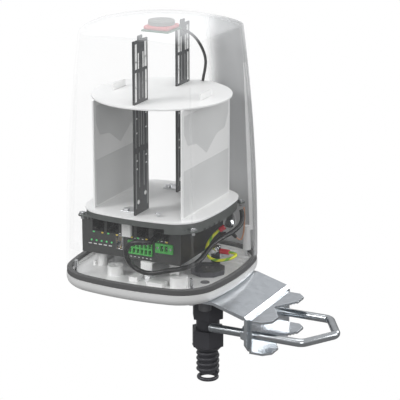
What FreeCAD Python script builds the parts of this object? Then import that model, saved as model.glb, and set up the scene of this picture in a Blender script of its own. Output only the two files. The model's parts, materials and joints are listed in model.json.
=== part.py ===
"""Mast-mounted outdoor router enclosure with a lift-off radome, built as a parametric document.

The parts are laid out about the enclosure's axis: x towards the mast, y to the rear, z up, with
z = 0 on the sealing plane. Each sub-part's Placement then carries it to the row frame, whose
origin is the middle of the clamped mast.
"""
import FreeCAD, Part
import math
import os
import re
import Sketcher

Vector = FreeCAD.Vector

SIZES = {
    # enclosure
    "mast_reach": 151.5, "clamp_drop": 43, "tray_half": 84, "tray_depth": 11, "floor_top": -1,
    "floor_thickness": 3, "side_bulge": 260, "corner_round": 40, "gasket_width": 5,
    "gasket_height": 5.5, "radome_wall": 2.5, "radome_height": 250, "radome_crease": 241,
    "screw_offset": 62.5, "screw_radius": 1.75,
    # bracket and clamp
    "plate_thickness": 3, "bracket_half": 51, "flange_face": 115, "flange_top": -20.5,
    "flange_bottom": -58, "leg_spacing": 71, "rod_radius": 4, "thread_tip": 69, "bend_reach": 165,
    "apex_reach": 186, "saddle_half": 45, "saddle_reach": 135.5, "saddle_root": 122,
    # gland
    "gland_place": 49.5, "gland_bore": 4, "spiral_radius": 9.6, "spiral_wire": 2,
    "spiral_pitch": 5.6,
    # router
    "router_left": -69.4, "router_right": 38.5, "router_front": -38, "router_back": 57.5,
    "router_bottom": 15, "router_top": 53.5, "case_wall": 1.5, "port_height": 44.5,
    # antenna stack
    "chassis_half": 65, "chassis_low": 54, "stack_plane": 66, "disc_radius": 68, "disc_top": 174,
    "panel_offset": 47, "panel_half": 52, "board_inner": 30, "board_outer": 58, "board_top": 238,
    "gnss_base": 235,
}
PORTS = (-51.1, -35.0, -18.7, -2.3, 19.4)
CORNERS = ((-1, -1), (-1, 1), (1, -1), (1, 1))
BRACKET_BOLTS = ((8, -44), (8, 44), (40, -44), (40, 44))
VENT = (60, -28)
FEET = ((-55, -24), (-55, 46), (25, -24), (25, 46))
ANTENNA_SOCKETS = (-55, -35, 5, 25)
EAR = (60, 53)

doc = FreeCAD.newDocument("MastRouterEnclosure")
sheet = doc.addObject("Spreadsheet::Sheet", "Dimensions")
nodes = {}


def fill_sheet():
    """Write each driving dimension as text beside its name and alias it."""
    for row, (alias, value) in enumerate(SIZES.items(), 1):
        sheet.set(f"A{row}", alias)
        sheet.set(f"B{row}", str(value))
        sheet.setAlias(f"B{row}", alias)
    doc.recompute()


def size(alias):
    """The sheet's value for one dimension."""
    return float(sheet.get(alias))


def bind(thing, prop, formula):
    """Bind a property to a formula that may name the sheet's dimensions."""
    words = re.sub(r"[a-z]+_[a-z_]+", lambda word: "Dimensions." + word.group(0), str(formula))
    thing.setExpression(prop, words)


def place(thing, base, axis=(0, 0, 1)):
    """Stand a part on its base point, with its own Z along the given axis."""
    thing.Placement.Rotation = FreeCAD.Rotation(Vector(0, 0, 1), Vector(*axis))
    for letter, formula in zip("xyz", base):
        bind(thing, f"Placement.Base.{letter}", formula)


def box(corner, length, width, height):
    """A Part box from its low corner; every argument is a formula."""
    thing = doc.addObject("Part::Box", "Block")
    bind(thing, "Length", length)
    bind(thing, "Width", width)
    bind(thing, "Height", height)
    place(thing, corner)
    return thing


def rod(base, radius, length, axis=(0, 0, 1)):
    """A Part cylinder from the centre of its first face."""
    thing = doc.addObject("Part::Cylinder", "Rod")
    bind(thing, "Radius", radius)
    bind(thing, "Height", length)
    place(thing, base, axis)
    return thing


def prism(base, sides, radius, length, axis=(0, 0, 1)):
    """A regular prism, such as a nut, from the centre of its first face."""
    thing = doc.addObject("Part::Prism", "Prism")
    thing.Polygon = sides
    bind(thing, "Circumradius", radius)
    bind(thing, "Height", length)
    place(thing, base, axis)
    return thing


def shape(solid):
    """A document object that holds a finished solid."""
    thing = doc.addObject("Part::Feature", "Shape")
    thing.Shape = solid
    return thing


def join(things):
    """One fused object out of several."""
    if len(things) == 1:
        return things[0]
    thing = doc.addObject("Part::MultiFuse", "Union")
    thing.Shapes = things
    return thing


def cut(base, tools):
    """The base with every tool taken away."""
    thing = doc.addObject("Part::Cut", "Cut")
    thing.Base = base
    thing.Tool = join(tools)
    return thing


def group(things):
    """Separate solids of one repeated piece, kept as one sub-part."""
    thing = doc.addObject("Part::Compound", "Group")
    thing.Links = things
    return thing


def publish(name, thing):
    """Name a sub-part after its node and carry it to the row frame."""
    holder = group([thing])
    holder.Label = name
    bind(holder, "Placement.Base.x", "-mast_reach")
    bind(holder, "Placement.Base.z", "clamp_drop")
    nodes[name] = holder


# ---------------------------------------------------------------- outlines

def bulged_square(half, level):
    """Closed outline of a square with bowed sides and round corners, at one height."""
    bow, round_ = size("side_bulge"), size("corner_round") * half / size("tray_half")
    inset = half - bow
    corner = (inset + math.sqrt(2 * (bow - round_) ** 2 - inset ** 2)) / 2
    start = math.atan2(corner, corner - inset)
    edges = []
    for quarter in range(4):
        turn = quarter * math.pi / 2

        def spot(centre_x, centre_y, radius, angle):
            local_x = centre_x + radius * math.cos(angle)
            local_y = centre_y + radius * math.sin(angle)
            return Vector(local_x * math.cos(turn) - local_y * math.sin(turn),
                          local_x * math.sin(turn) + local_y * math.cos(turn), level)

        edges.append(Part.Arc(spot(inset, 0, bow, -start), spot(inset, 0, bow, 0),
                              spot(inset, 0, bow, start)).toShape())
        edges.append(Part.Arc(spot(corner, corner, round_, start),
                              spot(corner, corner, round_, math.pi / 4),
                              spot(corner, corner, round_, math.pi / 2 - start)).toShape())
    return Part.Wire(edges)


def slab(half, low, high):
    """Solid of the bulged square between two heights."""
    face = Part.Face(bulged_square(half, low))
    return face.extrude(Vector(0, 0, high - low))


def polygon(points, offset):
    """Solid of a closed polygon of 3-D points, swept by an offset."""
    wire = Part.makePolygon([Vector(*point) for point in points] + [Vector(*points[0])])
    return Part.Face(wire).extrude(Vector(*offset))


def rounded_path(points, radius=None):
    """Straight runs joined by tangent arcs, and the arc radii."""
    points = [Vector(*point) for point in points]
    edges, radii = [], []
    last = points[0]
    for before, here, after in zip(points, points[1:], points[2:]):
        towards, away = (before - here), (after - here)
        run = min(towards.Length, away.Length)
        half_turn = (math.pi - towards.getAngle(away)) / 2
        bend = radius or 0.45 * run / math.tan(half_turn)
        back = bend * math.tan(half_turn)
        first = here + towards.normalize() * back
        second = here + away.normalize() * back
        middle_way = (towards + away).normalize()
        middle = here + middle_way * (bend / math.cos(half_turn) - bend)
        if (first - last).Length > 1e-4:
            edges.append(Part.LineSegment(last, first).toShape())
        edges.append(Part.Arc(first, middle, second).toShape())
        radii.append(round(bend, 1))
        last = second
    edges.append(Part.LineSegment(last, points[-1]).toShape())
    return Part.Wire(edges), radii


def tube(name, points, radius, bend=None):
    """Round cord or rod along a route of straight runs and tangent arcs."""
    path, radii = rounded_path(points, bend)
    way = Vector(*points[1]) - Vector(*points[0])
    section = Part.Wire([Part.makeCircle(radius, Vector(*points[0]), way)])
    solid = path.makePipeShell([section], True, False)
    share = solid.Volume / (math.pi * radius ** 2 * path.Length)
    print(f"{name}: radii {radii}, volume over section times length {share:.3f}")
    return solid


# ---------------------------------------------------------------- enclosure

def base_tray():
    half, depth, floor = size("tray_half"), size("tray_depth"), size("floor_top")
    under = floor - size("floor_thickness")
    skirt = Part.makeLoft([bulged_square(half - 4.5, -depth), bulged_square(half - 1, -depth + 3.5),
                           bulged_square(half, -depth + 7)], True)
    solid = skirt.fuse(slab(half, -depth + 7, 0))
    solid = solid.cut(slab(half - 6.5, floor, 1)).cut(slab(half - 9, -depth - 1, under))
    lip = slab(half - 5.6, floor, 2).cut(slab(half - 6.8, floor - 1, 3))
    solid = solid.fuse(lip)
    for centre_x, centre_y, top, radius in ((-29, -44.5, 8.5, 7.8), (43, -50, 9.5, 8.8)):
        tower = Part.makeCylinder(radius, top - under, Vector(centre_x, centre_y, under))
        pilot = Part.makeCylinder(2.4, 10, Vector(centre_x, centre_y, top - 9))
        solid = solid.fuse(tower.cut(pilot))
    for spot in FEET:
        solid = solid.fuse(Part.makeCylinder(5, 12 - under, Vector(*spot, under)))
    for low_x, low_y, long_x, long_y in ((14, -62, 17, 12), (-8, -56, 9, 13), (46, 26, 29, 2.2),
                                         (46, 35, 28, 2.2), (46, 44, 27, 2.2), (-62, -30, 2.2, 40)):
        solid = solid.fuse(Part.makeBox(long_x, long_y, 3.4 - under, Vector(low_x, low_y, under)))
    offset = size("screw_offset")
    for side_x, side_y in CORNERS:
        spot = (side_x * offset, side_y * offset)
        solid = solid.fuse(Part.makeCylinder(5, depth - 2, Vector(*spot, 2 - depth)))
        solid = solid.cut(Part.makeCylinder(2.1, 30, Vector(*spot, -20)))
    gland = Part.makeCylinder(12.7, 30, Vector(size("gland_place"), 0, -20))
    holes = [gland, Part.makeCylinder(4.6, 30, Vector(*VENT, -20))]
    for spot in BRACKET_BOLTS:
        solid = solid.fuse(Part.makeCylinder(6, under + depth, Vector(*spot, -depth)))
        holes.append(Part.makeCylinder(3.2, 30, Vector(*spot, -20)))
    for hole in holes:
        solid = solid.cut(hole)
    return shape(solid.removeSplitter())


def tray_gasket():
    half = size("tray_half") - 0.4
    ring = slab(half, 0, size("gasket_height"))
    return shape(ring.cut(slab(half - size("gasket_width"), -1, size("gasket_height") + 1)))


def dome_solid(shrink, base):
    """The radome's outer form, or its inner form when shrunk by the wall."""
    half = size("tray_half") - shrink
    levels = (base, 69, 105, 174, 215, 262)
    rings = [bulged_square(half - max(level, 3) ** 2 / 3900, level) for level in levels]
    solid = Part.makeLoft(rings, True)
    rise = size("radome_height") - size("radome_crease")
    ball = (70 ** 2 + rise ** 2) / (2 * rise)
    top = Part.makeSphere(ball - shrink, Vector(0, 0, size("radome_height") - ball))
    return solid.common(top)


def radome():
    base, wall = size("gasket_height") + 0.3, size("radome_wall")
    solid = dome_solid(0, base).cut(dome_solid(wall, base - 1))
    inner = dome_solid(wall - 0.5, base)
    offset = size("screw_offset")
    for side_x, side_y in CORNERS:
        spot = (side_x * offset, side_y * offset)
        post = Part.makeCylinder(4.2, 26, Vector(*spot, base))
        rib = Part.makeBox(13, 1.6, 176, Vector(86, -0.8, 24))
        rib.rotate(Vector(0, 0, 0), Vector(0, 0, 1), math.degrees(math.atan2(side_y, side_x)))
        hole = Part.makeCylinder(size("screw_radius") + 0.3, 12.5, Vector(*spot, base - 0.1))
        solid = solid.fuse(post.fuse(rib).common(inner)).cut(hole)
    return shape(solid)


def radome_screws():
    """Four screws from under the tray up into the radome's posts."""
    screws = []
    for side_x, side_y in CORNERS:
        spot = (f"{side_x} * screw_offset", f"{side_y} * screw_offset")
        shank = rod(spot + ("-tray_depth + 1",), "screw_radius", "tray_depth + 13")
        head = rod(spot + ("-tray_depth - 1",), 3.4, 2.8)
        screws.append(join([shank, head]))
    return group(screws)


def vent_plug():
    stem = rod(VENT + (-13,), 4.4, 12.6)
    head = rod(VENT + (-29,), 6.2, 9)
    hexagon = prism(VENT + (-20,), 6, 7.4, 7)
    return join([stem, head, hexagon])


# ---------------------------------------------------------------- bracket and clamp

def mast_bracket():
    thick, half, face = size("plate_thickness"), size("bracket_half"), size("flange_face")
    top, low = size("flange_top"), size("flange_bottom")
    outline = [(-4, -11), (79.5, -11), (face - 2.6, top), (face, top - 2.6), (face, low),
               (face - thick, low), (face - thick, top - 3.2), (face - 4.2, top - 3.6),
               (79, -11 - thick), (-4, -11 - thick)]
    solid = polygon([(x, -half, z) for x, z in outline], (0, 2 * half, 0))
    relief = Part.makeBox(78, 2 * (half - 15), 12, Vector(-6, -(half - 15), -20))
    solid = solid.cut(relief)
    legs = size("leg_spacing") / 2
    for side in (-1, 1):
        solid = solid.cut(Part.makeCylinder(size("rod_radius") + 0.5, 20,
                                            Vector(face - 10, side * legs, -size("clamp_drop")),
                                            Vector(1, 0, 0)))
        corner = polygon([(face - 5, side * half, low), (face - 5, side * (half - 9), low),
                          (face - 5, side * half, low + 9)], (10, 0, 0))
        solid = solid.cut(corner)
    for spot in BRACKET_BOLTS:
        solid = solid.cut(Part.makeCylinder(3.3, 20, Vector(*spot, -20)))
    return shape(solid)


def mast_saddle():
    face, thick, half = size("flange_face"), 2.5, size("saddle_half")
    reach, root = size("saddle_reach"), size("saddle_root")
    web = Part.makeBox(thick, 2 * half, 34, Vector(face, -half, -59))
    legs = size("leg_spacing") / 2
    solid = web
    teeth = 7
    for level in (-59, -25 - thick):
        outline = [(face, -half), (reach - 7, -half), (reach, -half + 7), (reach, -24)]
        run = [(root + (reach - root) * step / teeth, -23.0 * step / teeth)
               for step in range(teeth, 0, -1)]
        notch = []
        for place_x, place_y in run:
            notch += [(place_x, place_y), (place_x - 2.6, place_y + 0.5)]
        outline += notch + [(root - 1.5, 0)]
        mirrored = [(x, -y) for x, y in reversed(outline[:-1])]
        flange = polygon([(x, y, level) for x, y in outline + mirrored], (0, 0, thick))
        solid = solid.fuse(flange)
    for side in (-1, 1):
        solid = solid.cut(Part.makeCylinder(size("rod_radius") + 0.5, 20,
                                            Vector(face - 10, side * legs, -size("clamp_drop")),
                                            Vector(1, 0, 0)))
    return shape(solid.removeSplitter())


def v_bolt():
    leg, drop = size("leg_spacing") / 2, -size("clamp_drop")
    tip, bend, apex = size("thread_tip"), size("bend_reach"), size("apex_reach")
    route = [(tip, -leg, drop), (bend, -leg, drop), (apex, 0, drop), (bend, leg, drop),
             (tip, leg, drop)]
    return shape(tube("v_bolt", route, size("rod_radius"), 9))


def v_bolt_nut(side):
    nut = prism((104, f"{side} * leg_spacing / 2", "-clamp_drop"), 6, 7.5, 6.5, (1, 0, 0))
    hole = rod((103, f"{side} * leg_spacing / 2", "-clamp_drop"), "rod_radius + 0.1", 9, (1, 0, 0))
    return cut(nut, [hole])


def v_bolt_washers():
    washers = []
    for side in (-1, 1):
        place_y = f"{side} * leg_spacing / 2"
        disc = rod((110.5, place_y, "-clamp_drop"), 8.2, 1.5, (1, 0, 0))
        hole = rod((110, place_y, "-clamp_drop"), "rod_radius + 0.4", 3, (1, 0, 0))
        washers.append(cut(disc, [hole]))
    return group(washers)


def bracket_fasteners():
    """Four bolts up through the bracket's arms, each with its nut on the tray's floor."""
    bolts = []
    for spot in BRACKET_BOLTS:
        shank = rod(spot + (-14,), 3, 16)
        head = prism(spot + (-18,), 6, 5.6, 4)
        nut = prism(spot + ("floor_top",), 6, 5.6, 5)
        bolts.append(join([shank, head, nut]))
    return group(bolts)


# ---------------------------------------------------------------- cable gland

def gland_body():
    collar = rod(("gland_place", 0, -27), 15, 14)
    thread = rod(("gland_place", 0, -14), 12.4, 18)
    hexagon = prism(("gland_place", 0, -47), 6, 16.6, 20)
    neck = rod(("gland_place", 0, -59), 11.6, 13)
    bore = rod(("gland_place", 0, -60), 8, 70)
    return cut(join([collar, thread, hexagon, neck]), [bore])


def gland_seal():
    plug = rod(("gland_place", 0, -58), 8, 22)
    return cut(plug, [rod(("gland_place", 0, -59), "gland_bore", 16)])


def gland_insert():
    plug = rod(("gland_place", 0, -4), 8, 7.6)
    return cut(plug, [rod(("gland_place", 0, -5), 2.45, 12)])


def gland_ring(base, sides, radius, height, bore):
    body = prism(("gland_place", 0, base), sides, radius, height) if sides else \
        rod(("gland_place", 0, base), radius, height)
    return cut(body, [rod(("gland_place", 0, base - 1), bore, height + 2)])


def gland_dome_nut():
    hexagon = prism(("gland_place", 0, -76), 6, 17, 17.5)
    cone = doc.addObject("Part::Cone", "Taper")
    cone.Radius1 = 11.6
    cone.Radius2 = 15.5
    cone.Height = 4.5
    place(cone, ("gland_place", 0, -80.4))
    socket = rod(("gland_place", 0, -70), 11.9, 12)
    bore = rod(("gland_place", 0, -82), 8, 15)
    return cut(join([hexagon, cone]), [socket, bore])


def gland_spiral():
    """The bend relief: a tube wrapped in coils, with one open coil below it."""
    radius, wire, pitch = size("spiral_radius"), size("spiral_wire"), size("spiral_pitch")
    axis, top, turns = size("gland_place"), -80.5, 5
    low = top - wire - (turns - 1) * pitch
    sleeve = Part.makeCylinder(radius - 0.6, top - low, Vector(axis, 0, low))
    for turn in range(turns):
        level = top - wire - turn * pitch
        sleeve = sleeve.fuse(Part.makeTorus(radius - 0.12 * turn, wire, Vector(axis, 0, level)))
    sleeve = sleeve.cut(Part.makeCylinder(radius - 1.8, 99, Vector(axis, 0, low - 50)))
    ring = Part.makeTorus(radius - 0.6, 1.7, Vector(axis, 0, low - pitch))
    bridge = Part.makeCylinder(1.5, pitch, Vector(axis + radius - 0.6, 0, low - pitch))
    return shape(sleeve.fuse([ring, bridge]))


# ---------------------------------------------------------------- router

ROUTER_DEPTH = "router_back - router_front"
ROUTER_WIDTH = "router_right - router_left"
ROUTER_HEIGHT = "router_top - router_bottom"


def router_case():
    outer = box(("router_left", "router_front + 1.6", "router_bottom"), ROUTER_WIDTH,
                ROUTER_DEPTH + " - 3.2", ROUTER_HEIGHT)
    inner = box(("router_left + case_wall", "router_front", "router_bottom + case_wall"),
                ROUTER_WIDTH + " - 2 * case_wall", ROUTER_DEPTH,
                ROUTER_HEIGHT + " - 2 * case_wall")
    return cut(outer, [inner])


def router_front_panel():
    plate = box(("router_left", "router_front", "router_bottom"), ROUTER_WIDTH, 1.6, ROUTER_HEIGHT)
    holes = [box((port - 6.6, "router_front - 1", "port_height - 6.4"), 13.2, 4, 13.2)
             for port in PORTS]
    holes.append(box((-31.8, "router_front - 1", 22.5), 8.6, 4, 14.4))
    holes.append(box((-17.8, "router_front - 1", 20.6), 26.8, 4, 13.6))
    holes.append(box((12, "router_front - 1", 25.4), 19, 4, 10))
    holes += [rod((-58.9 + 5.6 * step, "router_front - 1", 28.2), 1, 4, (0, 1, 0))
              for step in range(5)]
    return cut(plate, holes)


def router_rear_panel():
    plate = box(("router_left", "router_back - 1.6", "router_bottom"), ROUTER_WIDTH, 1.6,
                ROUTER_HEIGHT)
    holes = [rod((spot, "router_back - 3", 40), 3.3, 6, (0, 1, 0)) for spot in ANTENNA_SOCKETS]
    return cut(plate, holes)


def router_board():
    return box(("router_left + 2.5", "router_front + 2.5", 18.2), ROUTER_WIDTH + " - 5",
               ROUTER_DEPTH + " - 6", 1.6)


def rj45_jack(port):
    shell = box((port - 6.5, "router_front - 0.3", "port_height - 6.3"), 13, 16, 13)
    cavity = box((port - 5.9, "router_front - 1", "port_height - 2.6"), 11.8, 14.5, 7.6)
    latch = box((port - 2.6, "router_front - 1", "port_height - 5.2"), 5.2, 12, 4)
    return cut(shell, [cavity, latch])


def link_leds():
    lamps = []
    for port in PORTS:
        for side in (-1, 1):
            lamps.append(box((f"{port} + {side} * 4.6 - 1.4", "router_front - 0.9",
                              "port_height - 6.1"), 2.8, 0.6, 1.8))
    return group(lamps)


def status_leds():
    return group([rod((-58.9 + 5.6 * step, "router_front - 0.2", 28.2), 0.9, 1.6, (0, 1, 0))
                  for step in range(5)])


def usb_socket():
    shell = box((-31.6, "router_front - 0.2", 22.7), 8.2, 15, 14)
    cavity = box((-31.1, "router_front - 1", 23.2), 7.2, 13, 13)
    tongue = box((-25.8, "router_front + 0.6", 24), 2, 13.4, 11.4)
    return join([cut(shell, [cavity]), tongue])


def io_terminal_block():
    body = box((-17.6, "router_front - 2.2", 20.8), 26.4, 12, 13.2)
    sockets = [box((-16.4 + 4.3 * column, "router_front - 3", 22 + 6.2 * level), 2.7, 5, 4.6)
               for column in range(6) for level in range(2)]
    return cut(body, sockets)


def power_socket():
    body = box((12.2, "router_front - 1.6", 25.6), 18.6, 11, 9.6)
    sockets = [box((17.6 + 4.6 * column, "router_front - 2", 27.4), 3.2, 6, 6)
               for column in range(2)]
    screws = [rod((spot, "router_front - 2", 30.4), 1.4, 3, (0, 1, 0)) for spot in (14.5, 28.5)]
    return cut(body, sockets + screws)


def sma_connectors():
    return group([join([rod((spot, "router_back - 3", 40), 3.1, 8.5, (0, 1, 0)),
                        prism((spot, "router_back", 40), 6, 4.6, 2.2, (0, 1, 0))])
                  for spot in ANTENNA_SOCKETS])


def router_feet():
    return group([rod(spot + (12,), 4.5, "router_bottom - 12") for spot in FEET])


def router_clips():
    upper = join([box((-22.6, "router_front - 5", "chassis_low - 1"), 9.6, 1.6, 3),
                  box((-22.6, "router_front - 3.6", 39), 2.4, 2.6, 15),
                  box((-15.4, "router_front - 3.6", 39), 2.4, 2.6, 15),
                  box((-22.6, "router_front - 4.8", 38), 9.6, 1.4, 17.5),
                  box((-22.6, "router_front - 3.6", "router_top + 0.1"), 9.6, 24, 1.6)])
    hook = join([box((-3, "router_front - 3.2", "floor_top"), 5.2, 2, 8),
                 box((-3, "router_front - 3.2", 5), 12, 2, 9),
                 box((-3, "router_front - 3.2", 13), 12, 12, 1.9)])
    return group([upper, hook])


# ---------------------------------------------------------------- antenna stack

def chassis_frame():
    half, low, plane = size("chassis_half"), size("chassis_low"), size("stack_plane")
    solid = slab(half, low, plane - 2).cut(slab(half - 1.5, low - 1, plane - 4))
    solid = solid.cut(Part.makeBox(86, 30, 4.6, Vector(-52, -80, low - 0.1)))
    for step in range(4):
        notch = Part.makeBox(3, 12, 2, Vector(56, -40 + step * 9, low - 0.1))
        solid = solid.cut(notch.fuse(Part.makeBox(12, 3.5, 2, Vector(56, -36 + step * 9, low))))
    for side_x, side_y in CORNERS:
        ear_x, ear_y = side_x * EAR[0], side_y * EAR[1]
        ear = Part.makeCylinder(4, 1.5, Vector(ear_x, ear_y, plane - 9))
        arm = Part.makeBox(14, 6, 1.5, Vector(ear_x - side_x * 7 - 7, ear_y - 3, plane - 9))
        solid = solid.fuse([ear, arm]).cut(Part.makeCylinder(1.8, 9, Vector(ear_x, ear_y, low)))
    tab = Part.makeBox(6.6, 1.2, plane - 42, Vector(56, 27.6, 39.5))
    solid = solid.fuse(tab)
    window = Part.makeBox(70, 60, 9, Vector(-42, -22, plane - 6))
    return shape(solid.cut(window))


def reflector_plate():
    solid = slab(size("chassis_half") + 1, size("stack_plane") - 1.8, size("stack_plane"))
    return shape(solid.cut(Part.makeCylinder(3.2, 10, Vector(10.5, 66, 60))))


def chassis_screws():
    spots = [(side_x * EAR[0], side_y * EAR[1]) for side_x, side_y in CORNERS]
    return group([join([rod(spot + ("stack_plane - 12.2",), 1.7, 7.2),
                        rod(spot + ("stack_plane - 7.5",), 3, 2.2)]) for spot in spots])


def upper_disc():
    body = doc.addObject("PartDesign::Body", "DiscBody")
    base = body.newObject("Sketcher::SketchObject", "DiscOutline")
    plane = [item for item in body.Origin.OriginFeatures if item.Role == "XY_Plane"][0]
    base.AttachmentSupport = [(plane, "")]
    base.MapMode = "FlatFace"
    base.addGeometry(Part.Circle(Vector(0, 0, 0), Vector(0, 0, 1), size("disc_radius")), False)
    base.addConstraint(Sketcher.Constraint("Coincident", 0, 3, -1, 1))
    ring = base.addConstraint(Sketcher.Constraint("Radius", 0, size("disc_radius")))
    bind(base, f"Constraints[{ring}]", "disc_radius")
    pad = body.newObject("PartDesign::Pad", "DiscPad")
    pad.Profile = base
    pad.Length = 1.8
    doc.recompute()
    blank = group([body])
    bind(blank, "Placement.Base.z", "disc_top - 1.8")
    slots = []
    for side in (-1, 1):
        slots.append(box((f"{side} * panel_offset - 1.2", -12.3, "disc_top - 5"), 2.4, 24.6, 10))
        low = "-board_outer - 0.3" if side < 0 else "board_inner - 0.3"
        slots.append(box((-1.2, low, "disc_top - 5"), 2.4, "board_outer - board_inner + 0.6", 10))
    slots.append(box((9.4, 62.2, "disc_top - 5"), 5.2, 8, 10))
    return cut(blank, slots)


def antenna_panel(side):
    face = f"{side} * panel_offset - 0.8"
    plate = box((face, "-panel_half", "stack_plane"), 1.6, "2 * panel_half",
                "disc_top - 1.8 - stack_plane")
    tab = box((face, -12, "disc_top - 3"), 1.6, 24, 9.5)
    return join([plate, tab])


def dipole_board(side):
    low = "-board_outer" if side < 0 else "board_inner"
    blade = box((-0.8, low, "stack_plane"), 1.6, "board_outer - board_inner",
                "board_top - stack_plane - 4")
    tab = box((-0.8, f"{side} * (board_outer + board_inner) / 2 - 4", "board_top - 6"), 1.6, 8, 6)
    holes = [rod((-3, f"{side} * 44 + {offset}", level), 2.2, 6, (1, 0, 0))
             for offset, level in ((-7, 78), (7, 84))]
    return cut(join([blade, tab]), holes)


def board_feet():
    feet = []
    for side in (-1, 1):
        low = f"{side} * (board_outer + board_inner) / 2 - 8"
        feet.append(join([box((-18, low, "stack_plane"), 17.2, 16, 1.5),
                          box((-2.4, low, "stack_plane"), 1.6, 16, 12)]))
    return group(feet)


def foot_screws():
    spots = [(-13.5, -48.5), (-13.5, 39.5), (21, -49), (33, 40), (-30, 20)]
    return group([join([rod(spot + ("stack_plane + 1.5",), 3, 2), rod(spot + ("stack_plane - 1.8",),
                                                                     1.5, 3.5)]) for spot in spots])


# ---------------------------------------------------------------- satellite antenna

def gnss_board():
    return box((-14.5, -14.5, "gnss_base"), 29, 29, 1.6)


def gnss_ceramic():
    return box((-13, -13, "gnss_base + 1.6"), 26, 26, 4)


def gnss_cover():
    return rod((0, 0, "gnss_base + 5.6"), 12.8, 4.4)


# ---------------------------------------------------------------- wiring

ETHERNET = [(19.4, -59, 44.5), (19.4, -65.4, 44.5), (15.2, -69.8, 45), (7.6, -71.2, 44.6),
            (0, -70, 41), (-4.5, -68, 34), (-5, -65.5, 26), (-2.5, -62.5, 18.5), (3.5, -60, 13),
            (12, -58.5, 10.5), (23, -58, 12), (34, -55.5, 15.5), (44, -49, 16.5), (51, -40.5, 17.5),
            (55, -30.5, 20.5), (56, -20.5, 24.2), (56.2, -9, 28.6), (57.6, 2, 31.4), (60.6, 12, 33.4),
            (64.2, 21.5, 35.2), (67.2, 30.5, 38), (68.4, 37.5, 42), (66.8, 42.4, 47.4),
            (64.6, 44.5, 52.6)]
UPPER_WAY = (-0.75, -0.25, -0.6)
UPPER_LUG = (60.5, 26, 43.5)
PLUG_WAY = (0.45, 0.5, -0.74)
PLUG_BASE = (56.8, 38.4, 29.6)


def along(start, way, distance):
    """The point at a distance from a start along a direction."""
    return tuple(Vector(*start) + Vector(*way).normalize() * distance)


EARTH = [along(UPPER_LUG, UPPER_WAY, 12.55), along(UPPER_LUG, UPPER_WAY, 16.5), (44.4, 18.6, 28.8),
         (42.6, 12, 22.8), (43.6, 7, 16.6), (48.2, 5.6, 12), (54, 6.6, 9.8), (60, 8, 10.2),
         (65.8, 9.8, 11.6), (71.2, 13.2, 13.4), (72, 20, 15.4), (63.05, 20, 15.4)]
PIGTAIL = [(64.7, 50, 53.8), (65.2, 50.3, 45), (65.3, 49.8, 35.5), (65, 48.6, 26.5),
           (63.6, 46.6, 20.4), along(PLUG_BASE, PLUG_WAY, 9.8), along(PLUG_BASE, PLUG_WAY, 7.05)]
GREY_LOOP = [(51.2, 44, 53.8), (54.4, 44.2, 49), (58.6, 42.4, 44.2), (60.4, 39.6, 38.6),
             (58, 36.2, 33.8), (54.2, 33, 31)]
GNSS_COAX = [(13, 19, 233.2), (17, 24, 230.6), (21.6, 30.4, 224), (24.4, 38.4, 213),
             (23.4, 48.6, 200), (17.6, 58.6, 187), (12.4, 64.4, 176), (10.5, 66, 163),
             (11.4, 65.7, 140), (10.3, 66.2, 114), (10.9, 65.8, 88), (10.5, 66, 66)]


def ethernet_plug():
    body = box((13.8, "router_front - 8", "port_height - 2.4"), 11.2, 20, 7.2)
    boot = rod((19.4, "router_front - 20", "port_height"), 3.6, 13, (0, 1, 0))
    collar = rod((19.4, "router_front - 25", "port_height"), 3.1, 6, (0, 1, 0))
    bore = rod((19.4, "router_front - 26", "port_height"), 2.5, 5.5, (0, 1, 0))
    return cut(join([body, boot, collar]), [bore])


def lug(centre, axis, bore, reach, way):
    """A ring terminal: an eye on its stud's axis and a short barrel beside it."""
    eye = rod(tuple(c - 0.5 * a for c, a in zip(centre, axis)), bore + 2.2, 1, axis)
    hole = rod(tuple(c - 2 * a for c, a in zip(centre, axis)), bore, 4, axis)
    barrel = rod(along(centre, way, 4.4), 1.4, reach - 4.4, way)
    return cut(join([eye, barrel]), [hole])


def crimp_rings():
    upper = lug(UPPER_LUG, (0, 1, 0), 2.6, 6, UPPER_WAY)
    lower = lug((47, 20, 15.4), (0, 1, 0), 2.6, 6, (1, 0, 0))
    return group([upper, lower])


def crimp_sleeves():
    upper = rod(along(UPPER_LUG, UPPER_WAY, 6), 2.6, 6.5, UPPER_WAY)
    lower = rod((53, 20, 15.4), 2.6, 10, (1, 0, 0))
    return group([upper, lower])


def earth_stud():
    """Studs of the two earth points: one on the frame's tab and one on a plate on the floor."""
    tab_stud = join([rod((60.5, 22.9, 43.5), 2.3, 4.7, (0, 1, 0)),
                     prism((60.5, 22.7, 43.5), 6, 4.2, 2.6, (0, 1, 0))])
    plate_stud = join([rod((47, 15, 15.4), 2.4, 9, (0, 1, 0)),
                       prism((47, 15.4, 15.4), 6, 4.4, 3, (0, 1, 0)),
                       box((42, 22, "floor_top"), 10, 2, 21)])
    return group([tab_stud, plate_stud])


def pigtail_connectors():
    return group([rod(PLUG_BASE, 1.9, 7, PLUG_WAY),
                  rod((53.6, 32.6, 30.4), 1.7, 6, (-0.8, -0.5, -0.3))])


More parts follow.
